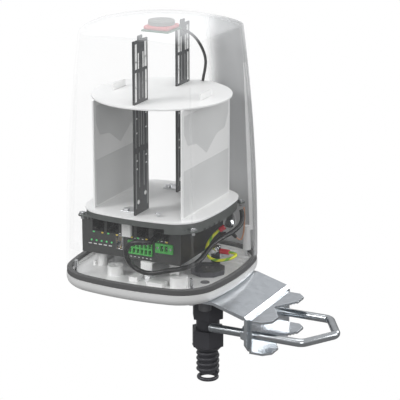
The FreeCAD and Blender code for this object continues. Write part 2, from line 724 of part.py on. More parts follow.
def build():
    fill_sheet()
    publish("base_tray", base_tray())
    publish("tray_gasket", tray_gasket())
    publish("radome", radome())
    publish("radome_screws", radome_screws())
    publish("vent_plug", vent_plug())
    publish("mast_bracket", mast_bracket())
    publish("bracket_fasteners", bracket_fasteners())
    publish("mast_saddle", mast_saddle())
    publish("v_bolt", v_bolt())
    publish("v_bolt_nut_front", v_bolt_nut(-1))
    publish("v_bolt_nut_rear", v_bolt_nut(1))
    publish("v_bolt_washers", v_bolt_washers())
    publish("gland_body", gland_body())
    publish("gland_seal", gland_seal())
    publish("gland_insert", gland_insert())
    publish("gland_locknut", gland_ring(-1, 8, 17.6, 5, 12.6))
    publish("gland_washer", gland_ring(-13, 0, 16, 2, 12.6))
    publish("gland_dome_nut", gland_dome_nut())
    publish("gland_spiral", gland_spiral())
    publish("router_case", router_case())
    publish("router_front_panel", router_front_panel())
    publish("router_rear_panel", router_rear_panel())
    publish("router_board", router_board())
    for number, port in enumerate(PORTS, 1):
        publish(f"rj45_jack_{number}", rj45_jack(port))
    publish("link_leds", link_leds())
    publish("status_leds", status_leds())
    publish("usb_socket", usb_socket())
    publish("io_terminal_block", io_terminal_block())
    publish("power_socket", power_socket())
    publish("sma_connectors", sma_connectors())
    publish("router_feet", router_feet())
    publish("router_clips", router_clips())
    publish("chassis_frame", chassis_frame())
    publish("reflector_plate", reflector_plate())
    publish("chassis_screws", chassis_screws())
    publish("upper_disc", upper_disc())
    publish("antenna_panel_left", antenna_panel(-1))
    publish("antenna_panel_right", antenna_panel(1))
    publish("front_dipole_board", dipole_board(-1))
    publish("rear_dipole_board", dipole_board(1))
    publish("board_feet", board_feet())
    publish("foot_screws", foot_screws())
    publish("gnss_board", gnss_board())
    publish("gnss_ceramic", gnss_ceramic())
    publish("gnss_cover", gnss_cover())
    publish("gnss_coax", shape(tube("gnss_coax", GNSS_COAX, 1.4)))
    publish("ethernet_plug", ethernet_plug())
    publish("ethernet_lead", shape(tube("ethernet_lead", ETHERNET, 2.4)))
    publish("earth_wire", shape(tube("earth_wire", EARTH, 1.5)))
    publish("crimp_rings", crimp_rings())
    publish("crimp_sleeves", crimp_sleeves())
    publish("earth_stud", earth_stud())
    publish("rf_pigtail", shape(tube("rf_pigtail", PIGTAIL, 0.8)))
    publish("grey_pigtail", shape(tube("grey_pigtail", GREY_LOOP, 1.0)))
    publish("pigtail_connectors", pigtail_connectors())


def check_and_export():
    doc.recompute()
    for thing in doc.Objects:
        if {"Invalid", "Error"} & set(thing.State):
            raise RuntimeError(f"{thing.Label} failed to rebuild: {thing.State}")
    os.makedirs("parts", exist_ok=True)
    for name, thing in nodes.items():
        if thing.Shape.isNull() or not thing.Shape.isValid():
            raise RuntimeError(f"{name} has no valid shape")
        thing.Shape.exportStep(f"parts/{name}.step")
        bounds = thing.Shape.BoundBox
        print(f"{name}: {len(thing.Shape.Solids)} solids, {thing.Shape.Volume:.0f} mm3, "
              f"{bounds.XLength:.0f} x {bounds.YLength:.0f} x {bounds.ZLength:.0f}")


build()
check_and_export()
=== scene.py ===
"""Looks of a mast-mounted outdoor router enclosure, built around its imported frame.

Lengths inside the classes are millimetres about the enclosure's axis: x towards the mast, y to the
rear, z up from the sealing plane. Layout.spot turns them into the frame's metres.
"""
import json
import logging
import math
from dataclasses import dataclass, field
from enum import Enum

import bmesh
import bpy
from mathutils import Matrix, Vector

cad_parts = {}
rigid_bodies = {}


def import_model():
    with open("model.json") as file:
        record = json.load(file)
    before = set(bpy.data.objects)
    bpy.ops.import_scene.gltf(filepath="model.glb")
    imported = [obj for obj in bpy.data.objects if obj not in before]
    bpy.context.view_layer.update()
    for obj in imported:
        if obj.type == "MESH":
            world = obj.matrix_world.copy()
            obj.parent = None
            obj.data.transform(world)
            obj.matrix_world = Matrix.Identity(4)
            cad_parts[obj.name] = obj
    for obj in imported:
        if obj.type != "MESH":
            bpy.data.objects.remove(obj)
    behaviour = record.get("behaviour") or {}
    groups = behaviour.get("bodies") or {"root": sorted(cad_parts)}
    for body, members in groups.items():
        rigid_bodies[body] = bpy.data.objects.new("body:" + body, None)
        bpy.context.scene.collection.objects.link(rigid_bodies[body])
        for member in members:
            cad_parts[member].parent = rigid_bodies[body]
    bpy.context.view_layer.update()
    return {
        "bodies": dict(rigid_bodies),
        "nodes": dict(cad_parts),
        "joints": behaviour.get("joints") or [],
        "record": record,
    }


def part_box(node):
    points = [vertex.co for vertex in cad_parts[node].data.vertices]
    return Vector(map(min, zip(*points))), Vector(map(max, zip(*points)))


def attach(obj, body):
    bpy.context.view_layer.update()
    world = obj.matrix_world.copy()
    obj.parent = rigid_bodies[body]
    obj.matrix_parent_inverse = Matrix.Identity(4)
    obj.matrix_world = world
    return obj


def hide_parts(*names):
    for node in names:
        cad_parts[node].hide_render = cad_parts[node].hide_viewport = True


LOG = logging.getLogger("enclosure")
MM = 0.001


# ------------------------------------------------------------------ shader tools

class Wire:
    """One shader socket, on which plain Python arithmetic adds Math nodes."""

    def __init__(self, bench: "Bench", socket: bpy.types.NodeSocket) -> None:
        """Keep the socket and the bench that owns its nodes."""
        self.bench = bench
        self.socket = socket

    def math(self, operation: str, *values: object) -> "Wire":
        """Add one Math node.

        Args:
            operation: the Math node's operation.
            values: numbers or wires for its inputs.

        Returns:
            The node's result.
        """
        return self.bench.math(operation, *values)

    def __add__(self, other: object) -> "Wire":
        """Sum."""
        return self.math("ADD", self, other)

    def __sub__(self, other: object) -> "Wire":
        """Difference."""
        return self.math("SUBTRACT", self, other)

    def __rsub__(self, other: object) -> "Wire":
        """Difference with the wire on the right."""
        return self.math("SUBTRACT", other, self)

    def __mul__(self, other: object) -> "Wire":
        """Product."""
        return self.math("MULTIPLY", self, other)

    def __truediv__(self, other: object) -> "Wire":
        """Quotient."""
        return self.math("DIVIDE", self, other)

    def __gt__(self, other: object) -> "Wire":
        """1 where the wire is greater, otherwise 0."""
        return self.math("GREATER_THAN", self, other)

    __radd__ = __add__
    __rmul__ = __mul__

    def ramp(self, low: float, high: float) -> "Wire":
        """Smooth 0 to 1 between two values.

        Args:
            low: value that gives 0.
            high: value that gives 1.

        Returns:
            The smoothed wire.
        """
        node = self.bench.add("ShaderNodeMapRange", {"interpolation_type": "SMOOTHSTEP"},
                              {"Value": self, "From Min": low, "From Max": high})
        return node.wire("Result")


class Placed:
    """A node on the bench, whose outputs are read as wires."""

    def __init__(self, bench: "Bench", node: bpy.types.Node) -> None:
        """Keep the node."""
        self.bench = bench
        self.node = node

    def wire(self, name: str) -> Wire:
        """Output of this name as a wire."""
        return Wire(self.bench, self.node.outputs[name])


class Bench:
    """The node tree of one material."""

    def __init__(self, name: str) -> None:
        """Start an empty material.

        Args:
            name: the material's name.
        """
        self.material = bpy.data.materials.new(name)
        self.material.use_nodes = True
        self.tree = self.material.node_tree
        self.tree.nodes.clear()

    def add(self, kind: str, settings: dict | None = None, inputs: dict | None = None) -> Placed:
        """Add a node.

        Args:
            kind: the node's type.
            settings: properties of the node, set first.
            inputs: values or wires, by socket name or number.

        Returns:
            The placed node.
        """
        node = self.tree.nodes.new(kind)
        for key, value in (settings or {}).items():
            setattr(node, key, value)
        for key, value in (inputs or {}).items():
            if isinstance(value, Wire):
                self.tree.links.new(value.socket, node.inputs[key])
            else:
                node.inputs[key].default_value = value
        return Placed(self, node)

    def math(self, operation: str, *values: object) -> Wire:
        """Add a Math node on numbers or wires and return its result."""
        node = self.add("ShaderNodeMath", {"operation": operation}, dict(enumerate(values)))
        return node.wire("Value")

    def coords(self, output: str = "Object") -> Wire:
        """Texture coordinates of the piece."""
        return self.add("ShaderNodeTexCoord").wire(output)

    def axes(self, output: str = "Object") -> tuple[Wire, Wire, Wire]:
        """The coordinates' three parts."""
        parts = self.add("ShaderNodeSeparateXYZ", None, {"Vector": self.coords(output)})
        return parts.wire("X"), parts.wire("Y"), parts.wire("Z")

    def noise(self, scale: float, detail: float = 3.0, stretch: tuple | None = None) -> Wire:
        """Noise on Object coordinates, about 0.5.

        Args:
            scale: cycles per metre.
            detail: octaves.
            stretch: scale of each axis, for a brushed or drawn grain.

        Returns:
            The noise's value.
        """
        vector = self.coords()
        if stretch:
            vector = self.add("ShaderNodeMapping", None, {"Vector": vector, "Scale": stretch}).wire("Vector")
        node = self.add("ShaderNodeTexNoise", None, {"Vector": vector, "Scale": scale, "Detail": detail})
        return node.wire("Fac")

    def blend(self, share: Wire, first: object, second: object) -> Wire:
        """Mix two colours by a share."""
        node = self.add("ShaderNodeMix", {"data_type": "RGBA"}, {"Factor": share})
        for slot, value in ((6, first), (7, second)):
            if isinstance(value, Wire):
                self.tree.links.new(value.socket, node.node.inputs[slot])
            else:
                node.node.inputs[slot].default_value = (*value, 1.0)
        return Wire(self, node.node.outputs[2])

    def bump(self, height: Wire, depth: float, strength: float = 0.5) -> Wire:
        """Bump of a height pattern that is `depth` metres deep."""
        node = self.add("ShaderNodeBump", None, {"Height": height, "Distance": depth, "Strength": strength})
        return node.wire("Normal")

    def finish(self, inputs: dict) -> bpy.types.Material:
        """Close the tree with a Principled shader.

        Args:
            inputs: its sockets.

        Returns:
            The material.
        """
        shader = self.add("ShaderNodeBsdfPrincipled", None, inputs)
        self.add("ShaderNodeOutputMaterial", None, {"Surface": shader.wire("BSDF")})
        return self.material


# ------------------------------------------------------------------ finishes

@dataclass(frozen=True)
class Moulded:
    """Moulded plastic, rubber or painted casting with a fine grain and faint mottling."""

    name: str
    colour: tuple[float, float, float]
    roughness: float = 0.45
    grain: float = 900.0
    depth: float = 0.00006
    mottle: float = 0.06
    metallic: float = 0.0
    coat: float = 0.0

    def make(self) -> bpy.types.Material:
        """Build the material."""
        bench = Bench(self.name)
        broad = bench.noise(28.0, 4.0)
        fine = bench.noise(self.grain, 2.0)
        dark = tuple(value * (1.0 - 2.2 * self.mottle) for value in self.colour)
        light = tuple(min(1.0, value * (1.0 + self.mottle)) for value in self.colour)
        colour = bench.blend((broad * 0.7 + fine * 0.3).ramp(0.3, 0.7), dark, light)
        rough = fine * 0.16 + broad * 0.08 + (self.roughness - 0.12)
        return bench.finish({"Base Color": colour, "Roughness": rough, "Metallic": self.metallic,
                             "Coat Weight": self.coat, "Coat Roughness": 0.18,
                             "Normal": bench.bump(fine, self.depth, 0.35)})


@dataclass(frozen=True)
class Galvanised:
    """Zinc-plated steel: soft spangle, fine scratches and duller patches."""

    name: str
    colour: tuple[float, float, float] = (0.62, 0.65, 0.68)
    roughness: float = 0.24
    spangle: float = 160.0
    metallic: float = 1.0

    def make(self) -> bpy.types.Material:
        """Build the material."""
        bench = Bench(self.name)
        cells = bench.add("ShaderNodeTexVoronoi", None, {"Vector": bench.coords(), "Scale": self.spangle})
        tone = bench.add("ShaderNodeSeparateXYZ", None, {"Vector": cells.wire("Color")}).wire("X")
        cloud = bench.noise(40.0, 5.0)
        scratch = bench.noise(260.0, 3.0, (1.0, 0.06, 1.0))
        dark = tuple(value * 0.95 for value in self.colour)
        light = tuple(min(1.0, value * 1.04) for value in self.colour)
        share = (tone * 0.25 + cloud * 0.5 + scratch * 0.25).ramp(0.3, 0.7)
        rough = self.roughness + cloud * 0.06 + scratch * 0.05 - 0.05
        return bench.finish({"Base Color": bench.blend(share, dark, light), "Roughness": rough,
                             "Metallic": self.metallic, "Normal": bench.bump(scratch, 0.00001, 0.2)})


@dataclass(frozen=True)
class Translucent:
    """The radome's see-through plastic: thin in front and denser on the crown, with a painted tone on the
    rear corner: painted shade on the shell, a painted lit face on the posts.
    """

    name: str
    colour: tuple[float, float, float] = (0.86, 0.87, 0.875)
    painted_corner_tone: tuple[float, float, float] = (0.50, 0.505, 0.51)
    wall_alpha: float = 0.02
    crown_alpha: float = 0.24
    painted_corner_alpha: float = 0.85

    def make(self) -> bpy.types.Material:
        """Build the material."""
        bench = Bench(self.name)
        across, depth, height = bench.axes()
        crown = height.ramp(0.279, 0.287)
        # Painted shade: this mask turns the rear corner to the painted corner tone and nearly opaque,
        # standing in for the shade seen on that side.
        side = depth.ramp(0.042, 0.06) * across.ramp(-0.143, -0.12) * (1.0 - crown)
        mould = bench.noise(60.0, 3.0)
        alpha = (self.wall_alpha + crown * (self.crown_alpha - self.wall_alpha)
                 + side * (self.painted_corner_alpha - self.wall_alpha) + mould * 0.01)
        return bench.finish({"Base Color": bench.blend(side, self.colour, self.painted_corner_tone),
                             "Roughness": 0.34 + mould * 0.1, "Alpha": alpha,
                             "Specular IOR Level": 0.25,
                             "Normal": bench.bump(bench.noise(500.0, 2.0), 0.00004, 0.2)})


@dataclass(frozen=True)
class Striped:
    """Cable insulation with two helical stripes, such as an earth wire's."""

    name: str
    base: tuple[float, float, float]
    stripe: tuple[float, float, float]
    turns: float = 5.0

    def make(self) -> bpy.types.Material:
        """Build the material."""
        bench = Bench(self.name)
        along, around, _ = bench.axes("UV")
        phase = bench.math("FRACT", around + along * self.turns)
        band = phase > 0.64
        wear = bench.noise(300.0, 3.0)
        return bench.finish({"Base Color": bench.blend(band, self.base, self.stripe),
                             "Roughness": 0.3 + wear * 0.16, "Coat Weight": 0.2,
                             "Normal": bench.bump(wear, 0.00005, 0.3)})


@dataclass(frozen=True)
class Glowing:
    """A small lamp lens that glows softly."""

    name: str
    colour: tuple[float, float, float]
    strength: float = 0.08

    def make(self) -> bpy.types.Material:
        """Build the material."""
        bench = Bench(self.name)
        haze = bench.noise(1500.0, 2.0)
        pale = tuple(min(1.0, value * 1.3 + 0.05) for value in self.colour)
        colour = bench.blend(haze, self.colour, pale)
        return bench.finish({"Base Color": colour, "Roughness": 0.2 + haze * 0.1,
                             "Emission Color": colour, "Emission Strength": self.strength})


class Look(Enum):
    """Every finish on the enclosure."""

    CASTING = Moulded("white_casting", (0.86, 0.86, 0.855), 0.42, 1100.0, 0.00005, 0.02)
    RADOME = Translucent("ghosted_radome")
    # Painted light: the pale corner tone makes only the rear-right rib nearly opaque, a painted lit face,
    # while the other ribs stay clear.
    POSTS = Translucent("ghosted_posts", painted_corner_tone=(0.78, 0.78, 0.78), painted_corner_alpha=0.9)
    GASKET = Moulded("gasket_rubber", (0.032, 0.032, 0.032), 0.5, 700.0, 0.0001, 0.1)
    ZINC = Galvanised("zinc_plate")
    FRAME = Galvanised("frame_zinc", (0.22, 0.235, 0.225), 0.42)
    ROD = Galvanised("bright_rod", (0.50, 0.52, 0.535), 0.16, 90.0, 1.0)
    STEEL = Galvanised("stainless", (0.62, 0.62, 0.61), 0.28, 300.0, 1.0)
    NYLON = Moulded("black_nylon", (0.012, 0.0125, 0.013), 0.34, 1200.0, 0.00006, 0.12)
    GREY = Moulded("vent_grey", (0.14, 0.14, 0.145), 0.42, 900.0, 0.00006, 0.08)
    FACE = Moulded("router_face", (0.055, 0.056, 0.054), 0.5, 1800.0, 0.00008, 0.08)
    CASE = Moulded("router_case", (0.009, 0.009, 0.009), 0.42, 1800.0, 0.00008, 0.14)
    BOARD = Moulded("green_board", (0.02, 0.11, 0.05), 0.3, 500.0, 0.00003, 0.12, coat=0.3)
    DARK_BOARD = Moulded("dark_board", (0.036, 0.038, 0.04), 0.34, 700.0, 0.00003, 0.1, coat=0.2)
    WHITE_BOARD = Moulded("white_board", (0.78, 0.78, 0.77), 0.4, 900.0, 0.00002, 0.02)
    INK = Moulded("grey_ink", (0.67, 0.675, 0.67), 0.45, 900.0, 0.00002, 0.02)
    TRACE = Moulded("white_trace", (0.82, 0.82, 0.81), 0.4, 900.0, 0.00002, 0.03)
    PALE_TRACE = Moulded("pale_trace", (0.25, 0.255, 0.255), 0.4, 900.0, 0.00002, 0.05)
    WHITE = Moulded("white_plastic", (0.80, 0.80, 0.79), 0.35, 900.0, 0.00005, 0.02)
    GREEN = Moulded("terminal_green", (0.09, 0.47, 0.10), 0.38, 1400.0, 0.00006, 0.08)
    CLAY = Moulded("antenna_ceramic", (0.60, 0.11, 0.11), 0.35, 700.0, 0.00003, 0.06, coat=0.3)
    PATCH = Moulded("patch_metal", (0.27, 0.28, 0.26), 0.38, 700.0, 0.00003, 0.05, 0.3)
    RED = Moulded("red_sleeve", (0.50, 0.012, 0.025), 0.25, 600.0, 0.00004, 0.06, coat=0.5)
    CABLE = Moulded("black_cable", (0.012, 0.012, 0.012), 0.3, 900.0, 0.00004, 0.12)
    EARTH = Striped("earth_insulation", (0.74, 0.76, 0.03), (0.16, 0.42, 0.02), 5.0)
    BROWN = Moulded("brown_coax", (0.33, 0.12, 0.06), 0.32, 900.0, 0.00003, 0.08)
    SILVER = Moulded("silver_coax", (0.48, 0.48, 0.48), 0.3, 900.0, 0.00003, 0.05, 0.5)
    GOLD = Moulded("gold_contact", (0.78, 0.55, 0.20), 0.25, 700.0, 0.00002, 0.05, 1.0)
    # Painted shade: near-black standing in for the shade inside the network sockets and the terminal
    # throats.
    PAINTED_SHADE = Moulded("socket_shade", (0.002, 0.002, 0.002), 0.8, 900.0, 0.00002, 0.1)
    LAMP_GREEN = Glowing("lamp_green", (0.10, 0.62, 0.18))
    LAMP_AMBER = Glowing("lamp_amber", (0.78, 0.56, 0.06))

    @property
    def material(self) -> bpy.types.Material:
        """The finish's material, built once."""
        return bpy.data.materials.get(self.value.name) or self.value.make()


# ------------------------------------------------------------------ frame and mesh tools

class Layout:
    """Turns enclosure millimetres into the frame's metres."""

    def __init__(self) -> None:
        """Find the enclosure's axis and sealing plane in the frame."""
        low, high = (Vector(corner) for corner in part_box("tray_gasket"))
        self.origin = Vector(((low.x + high.x) / 2, (low.y + high.y) / 2, low.z))

    def spot(self, point: tuple[float, float, float]) -> Vector:
        """Place of an enclosure point in the frame."""
        return self.origin + Vector(point) * MM


@dataclass
class Workshop:
    """Makes finished pieces, rides them on the frame's bodies and hides the CAD nodes they replace."""

    layout: Layout
    frame: dict
    made: list[str] = field(default_factory=list)

    def register(self, piece: bpy.types.Object, look: Look, node: str | None, body: str,
                 slot: str | None = None) -> bpy.types.Object:
        """Dress a piece, ride it on a body and replace its CAD node.

        Args:
            piece: the new object, already linked.
            look: its finish.
            node: CAD node that it stands for, if any.
            body: body that it rides on.
            slot: record slot, where no node gives one; not used.

        Returns:
            The piece.
        """
        piece.data.materials.clear()
        piece.data.materials.append(look.material)
        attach(piece, body)
        if node:
            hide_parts(node)
        self.made.append(piece.name)
        LOG.info("piece %s", piece.name)
        return piece

    def from_bmesh(self, name: str, shape: bmesh.types.BMesh, smooth: float = 35.0) -> bpy.types.Object:
        """Turn a bmesh in enclosure millimetres into an object in the frame.

        Args:
            name: the object's name.
            shape: the bmesh, which is freed.
            smooth: edges sharper than this many degrees stay sharp.

        Returns:
            The linked object.
        """
        bmesh.ops.scale(shape, vec=(MM, MM, MM), verts=shape.verts)
        bmesh.ops.translate(shape, vec=self.layout.origin, verts=shape.verts)
        mesh = bpy.data.meshes.new(name)
        shape.to_mesh(mesh)
        shape.free()
        mesh.shade_smooth()
        mesh.set_sharp_from_angle(angle=math.radians(smooth))
        piece = bpy.data.objects.new(name, mesh)
        bpy.context.scene.collection.objects.link(piece)
        return piece

    def bevel(self, piece: bpy.types.Object, width: float, segments: int = 2, angle: float = 32.0) -> None:
        """Round a piece's edges.

        Args:
            piece: the object.
            width: millimetres.
            segments: steps of the rounding.
            angle: least edge angle, in degrees.
        """
        rounding = piece.modifiers.new("edges", "BEVEL")
        rounding.width = width * MM
        rounding.segments = segments
        rounding.limit_method = "ANGLE"
        rounding.angle_limit = math.radians(angle)
        rounding.use_clamp_overlap = True
        rounding.harden_normals = True

    def refine(self, node: str, look: Look, body: str = "enclosure", width: float = 0.3,
               segments: int = 2, angle: float = 32.0) -> bpy.types.Object:
        """Finish a CAD node: welded, with rounded edges and its own material.

        Args:
            node: the CAD node.
            look: its finish.
            body: body that it rides on.
            width: edge rounding in millimetres, 0 for none.
            segments: steps of the rounding.
            angle: edges sharper than this many degrees are rounded and stay sharp.

        Returns:
            The finished piece.
        """
        shape = bmesh.new()
        shape.from_mesh(self.frame["nodes"][node].data)
        bmesh.ops.remove_doubles(shape, verts=shape.verts, dist=0.000002)
        bmesh.ops.dissolve_limit(shape, angle_limit=math.radians(0.6), verts=shape.verts,
                                 edges=shape.edges, delimit={"NORMAL"})
        mesh = bpy.data.meshes.new(f"{node}_finished")
        shape.to_mesh(mesh)
        shape.free()
        mesh.shade_smooth()
        mesh.set_sharp_from_angle(angle=math.radians(angle))
        piece = bpy.data.objects.new(f"{node}_finished", mesh)
        bpy.context.scene.collection.objects.link(piece)
        if width > 0:
            self.bevel(piece, width, segments, angle)
        return self.register(piece, look, node, body)


def block(shape: bmesh.types.BMesh, centre: tuple, size: tuple) -> list:
    """Add a box of this size about a centre.

    Args:
        shape: the bmesh.
        centre: its middle.
        size: its three lengths.

    Returns:
        The new vertices.
    """
    matrix = Matrix.Translation(centre) @ Matrix.Diagonal((*size, 1.0))
    return bmesh.ops.create_cube(shape, size=1.0, matrix=matrix)["verts"]


def turned(way: tuple) -> Matrix:
    """Rotation that carries +Z to a direction."""
    return Vector((0, 0, 1)).rotation_difference(Vector(way)).to_matrix().to_4x4()


def post(shape: bmesh.types.BMesh, centre: tuple, radius: float, length: float,
         way: tuple = (0, 0, 1), sides: int = 32, top: float | None = None) -> list:
    """Add a cylinder or cone about its middle.

    Args:
        shape: the bmesh.
        centre: its middle.
        radius: radius of its first end.
        length: length along the way.
        way: direction of its axis.
        sides: number of sides.
        top: radius of its far end, the same if None.

    Returns:
        The new vertices.
    """
    return bmesh.ops.create_cone(shape, cap_ends=True, segments=sides, radius1=radius,
                                 radius2=radius if top is None else top, depth=length,
                                 matrix=Matrix.Translation(centre) @ turned(way))["verts"]


@dataclass
class Outline:
    """Square plan with bowed sides and round corners."""

    bow: float = 260.0
    corner_share: float = 40.0 / 84.0

    def reach(self, angle: float, half: float) -> float:
        """Distance from the axis to the outline.

        Args:
            angle: direction, in radians.
            half: half the width across the flats.

        Returns:
            The distance.
        """
        turn = (angle + math.pi / 4) % (math.pi / 2) - math.pi / 4
        inset = half - self.bow
        small = half * self.corner_share
        middle = (inset + math.sqrt(2 * (self.bow - small) ** 2 - inset ** 2)) / 2
        start = math.atan2(middle, middle - inset)
        meeting = math.atan2(self.bow * math.sin(start), inset + self.bow * math.cos(start))
        if abs(turn) <= meeting:
            return inset * math.cos(turn) + math.sqrt(self.bow ** 2 - (inset * math.sin(turn)) ** 2)
        turn = abs(turn)
        across = middle * (math.cos(turn) + math.sin(turn))
        aside = middle * (math.sin(turn) - math.cos(turn))
        return across + math.sqrt(small ** 2 - aside ** 2)


# ------------------------------------------------------------------ radome

@dataclass
class Radome:
    """The tapered see-through cover with its corner posts and ribs."""

    shop: Workshop
    outline: Outline
    half: float = 84.0
    taper: float = 3900.0
    base: float = 5.8
    crease: float = 241.0
    height: float = 250.0
    wall: float = 2.5
    post_place: float = 62.5
    sides: int = 160

    def half_at(self, level: float) -> float:
        """Half width of the wall at a height."""
        return self.half - level ** 2 / self.taper

    def crown(self, distance: float) -> float:
        """Height of the domed top at a distance from the axis."""
        rise = self.height - self.crease
        ball = (70.0 ** 2 + rise ** 2) / (2 * rise)
        return self.height - ball + math.sqrt(ball ** 2 - distance ** 2)

    def shell(self) -> None:
        """Build the outer skin, then give it its wall."""
        shape = bmesh.new()
        bmesh.ops.create_circle(shape, segments=self.sides, radius=1.0)
        for vert in shape.verts:
            angle = math.atan2(vert.co.y, vert.co.x)
            vert.co = self.wall_point(angle, 0.0)
        ring = list(shape.edges)
        steps = 22
        for step in range(1, steps + 1):
            ring = self.raise_ring(shape, ring, step / steps, 1.0)
        for share in (0.985, 0.95, 0.9, 0.82, 0.72, 0.6, 0.46, 0.3, 0.14):
            ring = self.raise_ring(shape, ring, 1.0, share)
        bmesh.ops.contextual_create(shape, geom=ring)
        bmesh.ops.recalc_face_normals(shape, faces=shape.faces)
        piece = self.shop.from_bmesh("radome_shell", shape, 30.0)
        self.shop.bevel(piece, 3.2, 4, 24.0)
        wall = piece.modifiers.new("wall", "SOLIDIFY")
        wall.thickness = self.wall * MM
        wall.offset = -1.0
        piece.visible_shadow = False
        self.shop.register(piece, Look.RADOME, "radome", "radome")

    def wall_point(self, angle: float, share: float) -> Vector:
        """Point of the wall at a share of its height.

        Args:
            angle: direction from the axis, in radians.
            share: 0 at the rim, 1 at the crease.

        Returns:
            The point.
        """
        edge = self.outline.reach(angle, self.half_at(self.crease))
        level = self.base + (self.crown(edge) - self.base) * share
        reach = self.outline.reach(angle, self.half_at(level))
        return Vector((reach * math.cos(angle), reach * math.sin(angle), level))

    def raise_ring(self, shape: bmesh.types.BMesh, ring: list, share: float, inward: float) -> list:
        """Extrude a ring of edges to the next level or further in over the crown.

        Args:
            shape: the bmesh.
            ring: the last ring's edges.
            share: share of the wall's height.
            inward: share of the crease's reach, under 1 on the crown.

        Returns:
            The new ring's edges.
        """
        made = bmesh.ops.extrude_edge_only(shape, edges=ring)["geom"]
        for vert in (item for item in made if isinstance(item, bmesh.types.BMVert)):
            angle = math.atan2(vert.co.y, vert.co.x)
            point = self.wall_point(angle, share)
            if inward < 1.0:
                point.x *= inward
                point.y *= inward
                point.z = self.crown(point.to_2d().length)
            vert.co = point
        return [item for item in made if isinstance(item, bmesh.types.BMEdge)]

    def posts(self) -> None:
        """Screw posts and slender ribs inside the four corners."""
        shape = bmesh.new()
        for quarter in range(4):
            angle = math.pi / 4 + quarter * math.pi / 2
            side_x = math.copysign(1, math.cos(angle))
            side_y = math.copysign(1, math.sin(angle))
            spot = (side_x * self.post_place, side_y * self.post_place)
            post(shape, (*spot, 18.4), 4.0, 25.0, top=3.2)
            reach = self.outline.reach(angle, self.half_at(110.0)) - self.wall
            middle = (reach - 2.0) * math.cos(angle), (reach - 2.0) * math.sin(angle)
            verts = block(shape, (0, 0, 0), (4.0, 1.2, 172.0))
            lean = Matrix.Rotation(-math.radians(2.6), 4, "Y")
            place = Matrix.Translation((*middle, 112.0)) @ Matrix.Rotation(angle, 4, "Z") @ lean
            bmesh.ops.transform(shape, matrix=place, verts=verts)
        piece = self.shop.from_bmesh("radome_posts", shape)
        self.shop.bevel(piece, 0.3)
        piece.visible_shadow = False
        self.shop.register(piece, Look.POSTS, None, "radome", "radome_plastic")

    def build(self) -> None:
        """Make the cover."""
        self.shell()
        self.posts()


# ------------------------------------------------------------------ antenna stack

